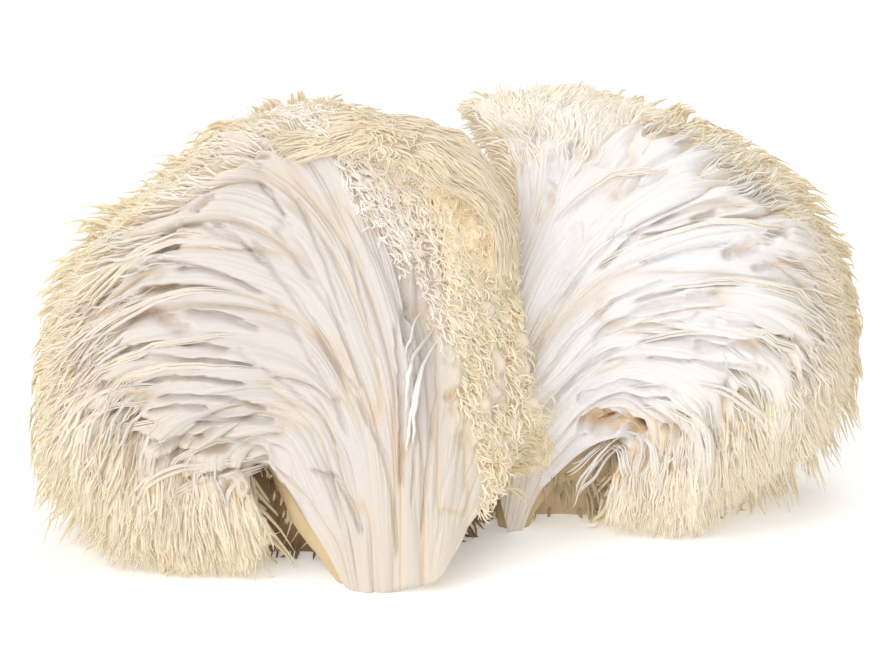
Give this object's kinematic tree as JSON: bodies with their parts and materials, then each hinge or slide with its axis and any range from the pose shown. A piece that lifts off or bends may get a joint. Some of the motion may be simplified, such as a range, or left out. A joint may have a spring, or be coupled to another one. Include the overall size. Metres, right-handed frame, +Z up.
{
  "type": "torn lion's mane mushroom",
  "caption": "Lion's mane mushroom torn open like a book: fans of white fibres rise from the stem to a rim of hanging cream spines.",
  "frame": {"origin": "on the surface that it rests on, under the middle of the mushroom's bounding box", "axes": "+Z up, +X towards the viewer's right across the two halves, +Y away from the viewer, so that the torn faces look towards -Y"},
  "size_m": [0.2043, 0.1121, 0.1123],
  "materials": {
    "flesh": "matte"
  },
  "bodies": {
    "root": {"mushroom": "flesh"}
  },
  "joints": []
}
